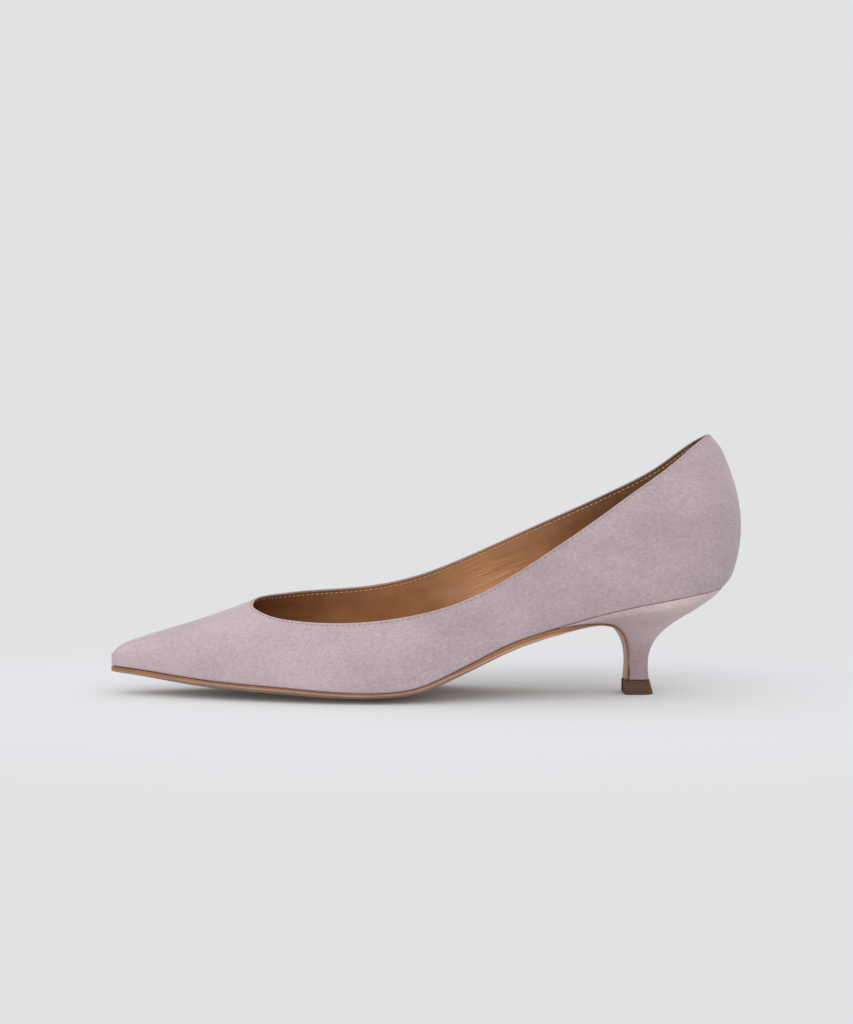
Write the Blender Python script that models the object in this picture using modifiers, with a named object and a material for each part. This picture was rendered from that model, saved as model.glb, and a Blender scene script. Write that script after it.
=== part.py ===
"""Pointed pump on a low curved heel, for the left foot.

Five pieces, as a maker puts them together: upper, insole, outsole, heel and top piece.
Metres, +Z up. The toe points along -X, the outer (lateral) side faces -Y, and the shoe
stands on z = 0 with the middle of its footprint at the origin.
"""

from bisect import bisect
from collections import namedtuple
import math

import bmesh
import bpy
from mathutils import Vector
import numpy as np

MM = 0.001

# Driving sizes
LENGTH = 259.0 * MM  # toe tip to the roundest point of the back
BALL_WIDTH = 74.0 * MM  # across the feather line, where upper and sole meet, at the ball
HEEL_SEAT = 44.2 * MM  # feather line above the floor at the back
TOPLINE = 106.9 * MM  # top edge of the upper above the floor at the back
WALL = 1.6 * MM  # suede and lining together
GAP = 0.3 * MM  # between pieces that meet
INSOLE_THICKNESS = 2.0 * MM
TOP_PIECE_HEIGHT = 5.8 * MM

# Rounded ends and openings
TOE_ROUND = 4.0 * MM  # length over which the toe closes in plan
HEEL_ROUND = 31.0 * MM  # length over which the heel closes in plan
NOSE_ROUND = 8.0 * MM  # length over which the crest drops at the toe tip
NOSE_DROP = 0.38  # share of the toe's height lost there
THROAT = 0.235  # front of the opening, along the feather line
THROAT_LEAN = math.radians(14)  # how far its front lies to the lateral side of the crest
BELLY_POWER = 4.5  # how square the outsole's underside is, 2 for an ellipse
FAN_LENGTH = 14.0 * MM  # length ahead of the opening over which the faces bend
BACK_BEND = 46.5 * MM  # length at the back that follows the back curve

# Mesh density
WALL_ROWS = 8  # rows of faces up the wall, from feather line to topline
THROAT_ROWS = 4  # rows of faces on the vamp that end at the front of the opening
FAN_STEPS = 4  # steps over which the vamp's faces bend to that front
SOLE_COLUMNS = 8  # columns of faces across soles and heel seat
HEEL_STEPS = 14  # steps along each side of the heel

# Sections of the last. along: share of the feather line's length, from the toe.
# lateral, medial: half widths at the feather line, ridge: the crest's shift to the medial
# side, swell_l, swell_m: how far the walls swell, all as shares of the ball width.
# feather: height of the feather line, share of the heel seat. crest: height of the last's
# top, share of the topline. full: how square the section is, 1 for an ellipse and less
# for squarer. crown: how far the last's bottom sinks between its edges, in mm.
Section = namedtuple(
    "Section", "along lateral medial feather crest ridge swell_l swell_m full crown"
)
SECTIONS = [
    Section(0.00, 0.043, 0.043, 0.262, 0.177, 0.000, 0.004, 0.004, 0.70, 0.0),
    Section(0.05, 0.128, 0.121, 0.244, 0.219, 0.003, 0.011, 0.011, 0.76, 0.5),
    Section(0.12, 0.245, 0.222, 0.204, 0.269, 0.008, 0.018, 0.016, 0.84, 1.0),
    Section(0.20, 0.364, 0.319, 0.168, 0.332, 0.013, 0.029, 0.026, 0.92, 1.5),
    Section(0.24, 0.411, 0.358, 0.156, 0.370, 0.015, 0.034, 0.030, 0.94, 1.7),
    Section(0.30, 0.470, 0.411, 0.138, 0.445, 0.018, 0.042, 0.037, 0.97, 2.0),
    Section(0.40, 0.531, 0.463, 0.106, 0.548, 0.022, 0.052, 0.045, 1.00, 2.2),
    Section(0.45, 0.538, 0.455, 0.109, 0.598, 0.024, 0.054, 0.048, 1.00, 2.2),
    Section(0.50, 0.528, 0.430, 0.148, 0.650, 0.025, 0.053, 0.052, 1.00, 2.0),
    Section(0.55, 0.503, 0.387, 0.263, 0.705, 0.025, 0.051, 0.060, 1.00, 1.6),
    Section(0.60, 0.467, 0.343, 0.401, 0.764, 0.024, 0.050, 0.069, 1.00, 1.2),
    Section(0.65, 0.428, 0.308, 0.533, 0.825, 0.020, 0.050, 0.076, 1.00, 0.6),
    Section(0.70, 0.393, 0.290, 0.626, 0.884, 0.015, 0.053, 0.080, 1.00, 0.1),
    Section(0.80, 0.361, 0.301, 0.784, 0.997, 0.008, 0.064, 0.080, 1.00, 0.0),
    Section(0.90, 0.358, 0.344, 0.902, 1.108, 0.002, 0.078, 0.080, 1.00, 0.0),
    Section(1.00, 0.358, 0.358, 1.000, 1.216, 0.000, 0.080, 0.080, 1.00, 0.0),
]

# Height of the top edge on each side, as shares of the topline at the back.
TopEdge = namedtuple("TopEdge", "along lateral medial")
TOP_EDGE = [
    TopEdge(0.235, 0.321, 0.357),
    TopEdge(0.26, 0.314, 0.372),
    TopEdge(0.30, 0.304, 0.384),
    TopEdge(0.40, 0.299, 0.397),
    TopEdge(0.50, 0.329, 0.443),
    TopEdge(0.60, 0.405, 0.537),
    TopEdge(0.70, 0.543, 0.645),
    TopEdge(0.80, 0.704, 0.751),
    TopEdge(0.90, 0.880, 0.876),
    TopEdge(0.95, 0.956, 0.950),
    TopEdge(1.00, 1.000, 1.000),
]

# The opening widens from its front over a length in mm on each side. power: how square it
# is there, 2 for an ellipse.
Throat = namedtuple("Throat", "reach power")
LATERAL_THROAT = Throat(16.0, 3.2)
MEDIAL_THROAT = Throat(13.0, 2.7)

# Profile of the back. rise: share of the way from heel seat to topline, out: how far it
# stands behind the feather line, in mm.
BackCurve = namedtuple("BackCurve", "rise out")
BACK_CURVE = [
    BackCurve(0.00, 0.0),
    BackCurve(0.05, 2.6),
    BackCurve(0.12, 4.5),
    BackCurve(0.25, 6.4),
    BackCurve(0.40, 7.1),
    BackCurve(0.55, 6.3),
    BackCurve(0.70, 4.0),
    BackCurve(0.85, 0.5),
    BackCurve(0.94, -2.6),
    BackCurve(1.00, -6.2),
]

# Levels of the heel from its seat down to the top piece, in mm. breast_x, breast_z: its
# front edge, which the sole's flap follows. back_x, back_z: its back. width: share of the
# heel seat's width. even: 0 where the sides are the last's own, 1 where they match.
HeelLevel = namedtuple("HeelLevel", "level breast_x breast_z back_x back_z width even")
HEEL_LEVELS = [
    HeelLevel(0, 53.0, 29.0, 122.3, 44.2, 1.000, 0.0),
    HeelLevel(1, 60.0, 30.1, 119.3, 41.1, 0.985, 0.2),
    HeelLevel(2, 66.6, 30.5, 115.7, 38.4, 0.940, 0.5),
    HeelLevel(3, 72.2, 30.2, 111.5, 35.5, 0.845, 0.8),
    HeelLevel(4, 76.5, 28.9, 106.5, 32.4, 0.680, 1.0),
    HeelLevel(5, 79.8, 26.3, 101.1, 28.8, 0.505, 1.0),
    HeelLevel(6, 82.1, 22.5, 96.2, 24.4, 0.360, 1.0),
    HeelLevel(7, 83.3, 17.6, 92.9, 19.2, 0.263, 1.0),
    HeelLevel(8, 83.5, 12.1, 91.6, 13.0, 0.222, 1.0),
    HeelLevel(9, 83.1, 6.1, 92.0, 6.1, 0.217, 1.0),
]
RINGS_PER_LEVEL = 3

# Thickness of the outsole in mm. place: 0 at the toe, 1 where it leaves the feather line
# under the heel's front, 2 at the foot of the flap. edge: at its rim, belly: how much
# more there is in the middle.
SoleDepth = namedtuple("SoleDepth", "place edge belly")
SOLE_DEPTHS = [
    SoleDepth(0.00, 1.60, 0.50),
    SoleDepth(0.25, 1.30, 1.80),
    SoleDepth(0.50, 1.20, 2.00),
    SoleDepth(0.75, 1.25, 1.65),
    SoleDepth(0.87, 2.35, 1.00),
    SoleDepth(1.00, 2.40, 0.70),
    SoleDepth(1.12, 1.75, 0.40),
    SoleDepth(1.25, 0.90, 0.15),
    SoleDepth(1.40, 0.85, 0.10),
    SoleDepth(2.00, 1.35, 0.10),
]

# The top piece flares to its tread. height: share of its height, out: how far its back
# stands out beyond the heel's foot, in mm, with the sides out half as far.
Flare = namedtuple("Flare", "height out")
TOP_PIECE_FLARES = [Flare(1.0, 0.1), Flare(0.5, 0.9), Flare(0.08, 1.8), Flare(0.0, 1.7)]

LATERAL, MEDIAL = -1, 1
TOE_X = -LENGTH / 2
SEAT_X = LENGTH / 2 - max(row.out for row in BACK_CURVE) * MM
FEATHER_LENGTH = SEAT_X - TOE_X

# Each piece's material: name, colour and roughness
UPPER_LOOK = ("upper_suede", (0.52, 0.42, 0.45), 0.95)
INSOLE_LOOK = ("insole_leather", (0.42, 0.22, 0.11), 0.5)
OUTSOLE_LOOK = ("outsole_leather", (0.36, 0.20, 0.11), 0.45)
HEEL_LOOK = ("heel_suede", (0.50, 0.40, 0.43), 0.95)
TOP_PIECE_LOOK = ("top_piece_rubber", (0.10, 0.06, 0.035), 0.55)


def through(rows, column):
    """A smooth function of a table's first column that passes through each row of another."""
    places = [row[0] for row in rows]
    values = [getattr(row, column) for row in rows]
    gaps = np.diff(places)
    rises = np.diff(values) / gaps
    shares = np.eye(len(rows))
    turns = np.zeros(len(rows))
    for k in range(1, len(gaps)):
        shares[k, k - 1 : k + 2] = gaps[k - 1], 2 * (gaps[k - 1] + gaps[k]), gaps[k]
        turns[k] = rises[k] - rises[k - 1]
    bends = np.linalg.solve(shares, turns)

    def value(place):
        k = min(max(bisect(places, place) - 1, 0), len(gaps) - 1)
        gap = gaps[k]
        after = min(max(place - places[k], 0.0), gap)
        before = gap - after
        straight = (values[k] * before + values[k + 1] * after) / gap
        bend = bends[k] * before * (before**2 - gap**2) + bends[k + 1] * after * (after**2 - gap**2)
        return float(straight + bend / gap)

    return value


def rounding(distance, reach, power=2.0):
    """Rises from 0 to 1 over the reach, as a quarter ellipse does, or squarer."""
    left = 1 - min(max(distance / reach, 0.0), 1.0)
    return max(1 - left**power, 0.0) ** (1 / power)


def fade(share):
    share = min(max(share, 0.0), 1.0)
    return share * share * (3 - 2 * share)


SECTION = {name: through(SECTIONS, name) for name in Section._fields[1:]}
EDGE_HEIGHT = {
    LATERAL: through(TOP_EDGE, "lateral"),
    MEDIAL: through(TOP_EDGE, "medial"),
}
THROATS = {LATERAL: LATERAL_THROAT, MEDIAL: MEDIAL_THROAT}
BACK_OUT = through(BACK_CURVE, "out")
HEEL = {name: through(HEEL_LEVELS, name) for name in HeelLevel._fields[1:]}
SOLE_EDGE = through(SOLE_DEPTHS, "edge")
SOLE_BELLY = through(SOLE_DEPTHS, "belly")


def station(along):
    return TOE_X + along * FEATHER_LENGTH


def share_along(x):
    return (x - TOE_X) / FEATHER_LENGTH


def feather_height(x):
    return SECTION["feather"](share_along(x)) * HEEL_SEAT


def end_rounding(x, inset=0.0):
    """How far the outline has opened at x, 0 at either end and 1 between."""
    from_toe = rounding(x - TOE_X - inset, TOE_ROUND)
    from_heel = rounding(SEAT_X - x - inset, HEEL_ROUND - inset)
    return from_toe * from_heel


def half_width(x, side, inset=0.0):
    """Half width of the feather line, or of a line that lies inside it by the inset."""
    column = "lateral" if side == LATERAL else "medial"
    width = SECTION[column](share_along(x)) * BALL_WIDTH
    return max(width - inset, 0.0) * end_rounding(x, inset)


def crest_height(x):
    """Height of the last's top, dropping round the nose at the toe tip."""
    feather = feather_height(x)
    rise = SECTION["crest"](share_along(x)) * TOPLINE - feather
    left = 1 - min(max((x - TOE_X) / NOSE_ROUND, 0.0), 1.0)
    return feather + rise * (1 - NOSE_DROP * left**3)


def last_point(x, side, angle):
    """A point of the last: angle 0 is on a side's feather line, a quarter turn on the crest."""
    if angle > math.pi / 2:
        side, angle = -side, math.pi - angle
    along = share_along(x)
    feather = feather_height(x)
    ridge = SECTION["ridge"](along) * BALL_WIDTH * end_rounding(x)
    swell = SECTION["swell_l" if side == LATERAL else "swell_m"](along) * BALL_WIDTH
    reach = half_width(x, side) + swell * math.sin(2 * angle) * end_rounding(x)
    offset = (side * reach - ridge) * max(math.cos(angle), 0.0) ** SECTION["full"](along)
    z = feather + (crest_height(x) - feather) * math.sin(angle)
    bend = fade((x - SEAT_X + BACK_BEND) / BACK_BEND)
    out = BACK_OUT((z - HEEL_SEAT) / (TOPLINE - HEEL_SEAT)) * MM
    return Vector((x + out * bend, ridge + offset, z))


def parting_angle(x, side):
    """Angle of the line on the vamp, from the toe tip to the throat, where the sides meet."""
    lean = THROAT_LEAN * fade((x - TOE_X) / (station(THROAT) - TOE_X))
    return math.pi / 2 + side * lean


def top_angle(x, side):
    """Angle of the top edge: at the parting on the vamp, lower behind the throat."""
    parting = parting_angle(x, side)
    feather = feather_height(x)
    height = EDGE_HEIGHT[side](share_along(x)) * TOPLINE
    share = (height - feather) / (crest_height(x) - feather)
    edge = math.asin(min(max(share, 0.0), 1.0))
    throat = THROATS[side]
    opened = rounding(x - station(THROAT), throat.reach * MM, throat.power)
    return parting - (parting - edge) * opened


def eased(start, end, steps, power=1.0):
    """Places from start up to, but not at, end, closer together near start as power grows."""
    return [start + (end - start) * (k / steps) ** power for k in range(steps)]


def throat_edge(side):
    """Places of the top edge round the front of the opening, from its corner to the crest."""
    throat = THROATS[side]
    turns = [math.pi / 4 * (1 - k / THROAT_ROWS) for k in range(THROAT_ROWS + 1)]
    ahead = [math.cos(turn) ** (2 / throat.power) for turn in turns]
    return [station(THROAT) + throat.reach * MM * (1 - share) for share in ahead]


def vamp_shares(side):
    """Where the vamp's rows meet the opening, as shares of the way up to the parting."""
    edge = throat_edge(side)
    parting = parting_angle(edge[-1], side)
    corner = top_angle(edge[0], side)
    angles = [corner * k / WALL_ROWS for k in range(WALL_ROWS)]
    angles += [top_angle(x, side) for x in edge]
    return [angle / parting for angle in angles]


def vamp_rows(side):
    """One side of the vamp, from the toe, where both sides match, to the opening."""
    edge = throat_edge(side)
    ends = [edge[0]] * WALL_ROWS + edge
    fan = station(THROAT) - FAN_LENGTH
    own, other = vamp_shares(side), vamp_shares(-side)
    places = eased(TOE_X, TOE_X + TOE_ROUND, 4, 2.0) + eased(TOE_X + TOE_ROUND, fan, 7)
    lines = [[x] * len(ends) for x in places]
    for k in range(FAN_STEPS + 1):
        lines.append([fan + (end - fan) * k / FAN_STEPS for end in ends])
    rows = []
    for line in lines:
        row = []
        for x, a, b in zip(line, own, other):
            apart = (1 + min((x - TOE_X) / (fan - TOE_X), 1.0)) / 2
            share = a * apart + b * (1 - apart)
            row.append(last_point(x, side, share * parting_angle(x, side)))
        rows.append(row)
    return rows


def quarter_rows(side):
    """One side behind the front of the opening, from feather line to top edge."""
    corner = throat_edge(side)[0]
    straight = station(THROAT) + THROATS[side].reach * MM
    heel = SEAT_X - HEEL_ROUND
    places = eased(corner, straight, 4, 1.5) + eased(straight, heel, 16)
    places += [heel + HEEL_ROUND * math.sin(k / 9 * math.pi / 2) for k in range(10)]
    rows = []
    for x in places:
        top = top_angle(x, side)
        rows.append([last_point(x, side, top * k / WALL_ROWS) for k in range(WALL_ROWS + 1)])
    return rows


def middle_y():
    """How far the middle of the shoe's width lies from the line through toe and heel."""
    reaches = []
    for side in (LATERAL, MEDIAL):
        points = [point for row in vamp_rows(side) + quarter_rows(side) for point in row]
        reaches.append(max(side * point.y for point in points) * side)
    return sum(reaches) / 2


def add_sheet(mesh, rows):
    """Faces between rows of points, each row as long as the next."""
    verts = [[mesh.verts.new(point) for point in row] for row in rows]
    for low, high in zip(verts, verts[1:]):
        for a, b, c, d in zip(low, low[1:], high[1:], high):
            mesh.faces.new((a, b, c, d))


def finish(name, mesh, closed, look):
    """Welds the seams of a bmesh and makes it a shaded object of the shoe."""
    bmesh.ops.remove_doubles(mesh, verts=mesh.verts, dist=0.002 * MM)
    if closed:
        bmesh.ops.recalc_face_normals(mesh, faces=mesh.faces)
    data = bpy.data.meshes.new(name)
    mesh.to_mesh(data)
    mesh.free()
    data.shade_smooth()
    data.set_sharp_from_angle(angle=math.radians(40))
    data.materials.append(material(*look))
    part = bpy.data.objects.new(name, data)
    part.parent = bpy.data.objects["shoe"]
    bpy.data.collections["pump_shoe"].objects.link(part)
    return part


def material(name, colour, roughness):
    made = bpy.data.materials.new(name)
    made.use_nodes = True
    shader = made.node_tree.nodes["Principled BSDF"]
    shader.inputs["Base Color"].default_value = (*colour, 1.0)
    shader.inputs["Roughness"].default_value = roughness
    shader.inputs["Metallic"].default_value = 0.0
    return made


def make_upper():
    """Both sides of the last up to the top edge, given the wall's thickness inwards."""
    mesh = bmesh.new()
    for side in (LATERAL, MEDIAL):
        for rows in (vamp_rows(side), quarter_rows(side)):
            add_sheet(mesh, rows[::-1] if side == LATERAL else rows)
    upper = finish("upper", mesh, False, UPPER_LOOK)
    wall = upper.modifiers.new("wall", "SOLIDIFY")
    wall.thickness = WALL
    wall.offset = -1.0
    wall.use_even_offset = True
    return upper


def bottom_height(x, y, side):
    """The last's bottom, which sinks between the feather lines."""
    width = max(half_width(x, side), 0.1 * MM)
    sink = SECTION["crown"](share_along(x)) * MM * end_rounding(x)
    return feather_height(x) - sink * (1 - min(abs(y) / width, 1.0) ** 2)


def across(lateral, medial):
    """Places from the lateral rim to the medial rim, with one on the long axis."""
    half = SOLE_COLUMNS // 2
    outer = [-lateral * (half - k) / half for k in range(half)]
    return outer + [medial * k / half for k in range(half + 1)]


def add_slab(mesh, tops, bottoms):
    """Top sheet, bottom sheet and the rim between them."""
    add_sheet(mesh, tops)
    add_sheet(mesh, bottoms)
    for edge in (0, -1):
        add_sheet(mesh, [[row[edge] for row in tops], [row[edge] for row in bottoms]])
    for end in (0, -1):
        add_sheet(mesh, [tops[end], bottoms[end]])


def make_insole():
    """The footbed, inside the wall and on the last's bottom, from toe to heel."""
    inset = 1.15 * (WALL + GAP)
    first, last = TOE_X + inset + TOE_ROUND / 2, SEAT_X - inset
    bend = last - HEEL_ROUND
    places = eased(first, bend, 24) + [
        bend + (last - bend) * math.sin(k / 7 * math.pi / 2) for k in range(8)
    ]
    tops, bottoms = [], []
    for x in places:
        lateral, medial = (half_width(x, side, inset) for side in (LATERAL, MEDIAL))
        lower, upper = [], []
        for y in across(lateral, medial):
            height = bottom_height(x, y, LATERAL if y < 0 else MEDIAL)
            lower.append(Vector((x, y, height)))
            upper.append(Vector((x, y, height + INSOLE_THICKNESS)))
        bottoms.append(lower)
        tops.append(upper)
    mesh = bmesh.new()
    add_slab(mesh, tops, bottoms)
    return finish("insole", mesh, True, INSOLE_LOOK)


def breast_point(level):
    return Vector((HEEL["breast_x"](level) * MM, 0.0, HEEL["breast_z"](level) * MM))


def heel_half_width(level, share, side):
    """Half width of the heel at a level, a share of the way from its breast to its back."""
    seat = HEEL_LEVELS[0].breast_x * MM
    x = seat + (SEAT_X - seat) * share
    own = half_width(x, side)
    both = (half_width(x, LATERAL) + half_width(x, MEDIAL)) / 2
    even = HEEL["even"](level)
    return HEEL["width"](level) * (own * (1 - even) + both * even)


SolePlace = namedtuple("SolePlace", "point place lateral medial crown")


def sole_places():
    """The outsole's upper edge from the toe along the feather line, then down the heel."""
    leaves = HEEL_LEVELS[0].breast_x * MM
    places = eased(TOE_X, TOE_X + TOE_ROUND, 3, 2.0)
    places += eased(TOE_X + TOE_ROUND, leaves, 26)
    route = []
    for x in places:
        along = share_along(x)
        route.append(
            SolePlace(
                Vector((x, 0.0, feather_height(x) - GAP)),
                (x - TOE_X) / (leaves - TOE_X),
                half_width(x, LATERAL),
                half_width(x, MEDIAL),
                SECTION["crown"](along) * MM * end_rounding(x),
            )
        )
    steps = 27
    last = HEEL_LEVELS[-1].level
    for k in range(steps + 1):
        level = last * k / steps
        route.append(
            SolePlace(
                breast_point(level),
                1 + k / steps,
                heel_half_width(level, 0.0, LATERAL),
                heel_half_width(level, 0.0, MEDIAL),
                0.0,
            )
        )
    return route


def normal_at(points, k):
    """Upward normal of a route in the x-z plane."""
    before, after = points[max(k - 1, 0)], points[min(k + 1, len(points) - 1)]
    run = (after - before).normalized()
    return Vector((-run.z, 0.0, run.x))


def make_outsole():
    """Thin sole with a rounded belly that runs on down the breast of the heel as a flap."""
    route = sole_places()
    points = [place.point for place in route]
    tops, bottoms = [], []
    for k, place in enumerate(route):
        normal = normal_at(points, k)
        edge, belly = SOLE_EDGE(place.place) * MM, SOLE_BELLY(place.place) * MM
        upper, lower = [], []
        for y in across(place.lateral, place.medial):
            rim = place.lateral if y < 0 else place.medial
            inward = min(abs(y) / rim, 1.0) if rim > 0 else 1.0
            top = place.point + Vector((0, y, 0)) - normal * place.crown * (1 - inward**2)
            low = top - normal * (edge + belly * (1 - inward**BELLY_POWER))
            upper.append(top)
            lower.append(Vector((low.x, low.y, max(low.z, 0.0))))
        tops.append(upper)
        bottoms.append(lower)
    mesh = bmesh.new()
    add_slab(mesh, tops, bottoms)
    return finish("outsole", mesh, True, OUTSOLE_LOOK)


def heel_ring(level):
    """Rim of the heel at a level: both sides from the breast round to the back."""
    front = breast_point(level)
    ahead = breast_point(level + 0.05) - breast_point(level - 0.05)
    clear = Vector((-ahead.z, 0.0, ahead.x)).normalized() * GAP
    front += clear
    back = Vector((HEEL["back_x"](level) * MM, 0.0, HEEL["back_z"](level) * MM))
    rims = {LATERAL: [], MEDIAL: []}
    for k in range(HEEL_STEPS + 1):
        share = math.sin(k / HEEL_STEPS * math.pi / 2)
        for side, rim in rims.items():
            point = front.lerp(back, share)
            point.y = side * heel_half_width(level, share, side)
            if level == 0:
                point.z = feather_height(point.x) - GAP
            rim.append(point)
    return rims


def cross_rows(rims):
    """Rows of points across a ring, from its breast to its back."""
    rows = []
    for lateral, medial in zip(rims[LATERAL], rims[MEDIAL]):
        row = []
        for y in across(-lateral.y, medial.y):
            row.append(Vector((lateral.x, y, lateral.z)))
        rows.append(row)
    return rows


def make_heel():
    """Curved block from the heel seat, with wings under the waist, down to its foot."""
    last = HEEL_LEVELS[-1].level
    levels = [k / RINGS_PER_LEVEL for k in range(last * RINGS_PER_LEVEL + 1)]
    rings = [heel_ring(level) for level in levels]
    mesh = bmesh.new()
    for side in (LATERAL, MEDIAL):
        add_sheet(mesh, [ring[side] for ring in rings])
    add_sheet(mesh, [cross_rows(ring)[0] for ring in rings])
    add_sheet(mesh, cross_rows(rings[0]))
    add_sheet(mesh, cross_rows(rings[-1]))
    return finish("heel", mesh, True, HEEL_LOOK)


def make_top_piece():
    """Small hard block under heel and flap, flared to its tread."""
    foot = HEEL_LEVELS[-1]
    front = foot.breast_x * MM - SOLE_EDGE(2.0) * MM
    back = foot.back_x * MM
    mesh = bmesh.new()
    rings = []
    for flare in TOP_PIECE_FLARES:
        out = flare.out * MM
        rims = {LATERAL: [], MEDIAL: []}
        for k in range(HEEL_STEPS + 1):
            share = math.sin(k / HEEL_STEPS * math.pi / 2)
            x = front + (back + out - front) * share
            for side, rim in rims.items():
                own = heel_half_width(foot.level, share, side)
                wide = own * (1 + out / 2 / heel_half_width(foot.level, 0.0, side))
                rim.append(Vector((x, side * wide, flare.height * TOP_PIECE_HEIGHT)))
        rings.append(rims)
    for side in (LATERAL, MEDIAL):
        add_sheet(mesh, [ring[side] for ring in rings])
    add_sheet(mesh, [cross_rows(ring)[0] for ring in rings])
    add_sheet(mesh, cross_rows(rings[0]))
    add_sheet(mesh, cross_rows(rings[-1]))
    return finish("top_piece", mesh, True, TOP_PIECE_LOOK)


def main():
    for old in list(bpy.data.objects):
        bpy.data.objects.remove(old)
    shoe = bpy.data.objects.new("shoe", None)
    parts = bpy.data.collections.new("pump_shoe")
    bpy.context.scene.collection.children.link(parts)
    parts.objects.link(shoe)
    shoe.location.y = -middle_y()
    make_upper()
    make_insole()
    make_outsole()
    make_heel()
    make_top_piece()


main()
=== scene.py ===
import math
from bisect import bisect

import bmesh
import bpy
import numpy as np
from mathutils import Matrix, Vector
from mathutils.bvhtree import BVHTree
from mathutils.kdtree import KDTree


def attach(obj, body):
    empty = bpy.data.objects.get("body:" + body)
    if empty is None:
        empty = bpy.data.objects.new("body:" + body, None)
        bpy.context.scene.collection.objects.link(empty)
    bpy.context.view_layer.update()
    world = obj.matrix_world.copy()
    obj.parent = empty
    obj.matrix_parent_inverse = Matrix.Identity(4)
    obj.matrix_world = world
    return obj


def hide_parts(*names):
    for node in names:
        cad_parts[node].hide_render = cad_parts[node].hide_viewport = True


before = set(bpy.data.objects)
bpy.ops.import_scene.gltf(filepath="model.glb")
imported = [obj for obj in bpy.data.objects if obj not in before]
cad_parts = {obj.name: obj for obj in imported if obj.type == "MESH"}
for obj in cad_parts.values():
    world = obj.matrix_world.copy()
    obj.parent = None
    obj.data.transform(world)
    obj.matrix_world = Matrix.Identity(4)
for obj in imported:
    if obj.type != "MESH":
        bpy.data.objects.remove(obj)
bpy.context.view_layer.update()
print("frame:", ", ".join(sorted(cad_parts)))

scene = bpy.context.scene
scene.view_settings.view_transform = "Standard"
outer, inner = -1, 1  # sides of the shoe, outer faces the camera
noiseReach = 0.3, 0.7  # most values of a noise lie between these

# camera

cameraSetup = {"place": (0.0004, -0.700, 0.086), "pitch": 0.92, "lens": 60.0, "sensor": 36.0}


def addCamera(setup):
    data = bpy.data.cameras.new("camera")
    data.lens = setup["lens"]
    data.sensor_width = setup["sensor"]
    data.clip_start = 0.01
    camera = bpy.data.objects.new("camera", data)
    camera.location = setup["place"]
    camera.rotation_euler = (math.radians(90 - setup["pitch"]), 0, 0)
    scene.collection.objects.link(camera)
    scene.camera = camera


addCamera(cameraSetup)
print("camera set")

# light and floor

studio = {
    "backdrop": (0.753, 0.761, 0.776),
    "room": (0.44, 0.44, 0.45),  # above and beside the camera
    "horizonTop": (0.20, 0.62),  # sine of the height where the pale horizon fades into the room
    "backdropTop": (0.30, 0.50),  # the same straight ahead, where the backdrop hangs
    "backdropSides": (0.45, 0.85),  # and for its turn away from straight ahead
    "floor": (0.730, 0.737, 0.750),
    "floorReach": (0.11, 0.26),  # here the lit paper turns into plain backdrop
    "floorSquash": 0.8,  # its lit part is longer along the shoe
    "floorGlow": 0.04,
    "floorSize": 30.0,
    # name: strength, disc in degrees, height and turn of where it comes from
    "suns": {
        "overhead": (1.22, 120, 82, -90),
        "front": (0.80, 50, 34, -76),
        "toeSide": (0.50, 50, 22, -135),
    },
}


def addNode(tree, kind, settings=None, sockets=None):
    node = tree.nodes.new(kind)
    for name, value in (settings or {}).items():
        setattr(node, name, value)
    for name, value in (sockets or {}).items():
        node.inputs[name].default_value = value
    return node


def newMaterial(name, sockets):
    made = bpy.data.materials.new(name)
    made.use_nodes = True
    shader = made.node_tree.nodes["Principled BSDF"]
    for socket, value in sockets.items():
        shader.inputs[socket].default_value = value
    return made, made.node_tree, shader


def objectPlace(tree):
    return addNode(tree, "ShaderNodeTexCoord").outputs["Object"]


def mapped(tree, place, sockets, kind="POINT"):  # coordinates, turned and stretched
    node = addNode(tree, "ShaderNodeMapping", {"vector_type": kind}, sockets)
    tree.links.new(place, node.inputs["Vector"])
    return node.outputs["Vector"]


def addNoise(tree, place, scale, detail, roughness=0.5):
    sockets = {"Scale": scale, "Detail": detail, "Roughness": roughness}
    node = addNode(tree, "ShaderNodeTexNoise", None, sockets)
    tree.links.new(place, node.inputs["Vector"])
    return node.outputs["Fac"]


def ramped(tree, value, ends, smooth=False):  # ends: from, to and, if not 0 and 1, what they become
    kind = {"interpolation_type": "SMOOTHSTEP" if smooth else "LINEAR"}
    sockets = dict(zip(("From Min", "From Max", "To Min", "To Max"), ends))
    node = addNode(tree, "ShaderNodeMapRange", kind, sockets)
    tree.links.new(value, node.inputs["Value"])
    return node.outputs["Result"]


def combined(tree, operation, first, second):
    node = addNode(tree, "ShaderNodeMath", {"operation": operation})
    tree.links.new(first, node.inputs[0])
    tree.links.new(second, node.inputs[1])
    return node.outputs[0]


def blended(tree, share, start, end):  # a colour between two others
    node = addNode(tree, "ShaderNodeMix", {"data_type": "RGBA"}, {6: (*start, 1), 7: (*end, 1)})
    tree.links.new(share, node.inputs[0])
    return node.outputs[2]


def addBump(tree, target, height, strength, distance):
    bump = addNode(tree, "ShaderNodeBump", None, {"Strength": strength, "Distance": distance})
    tree.links.new(height, bump.inputs["Height"])
    tree.links.new(bump.outputs["Normal"], target.inputs["Normal"])


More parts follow.
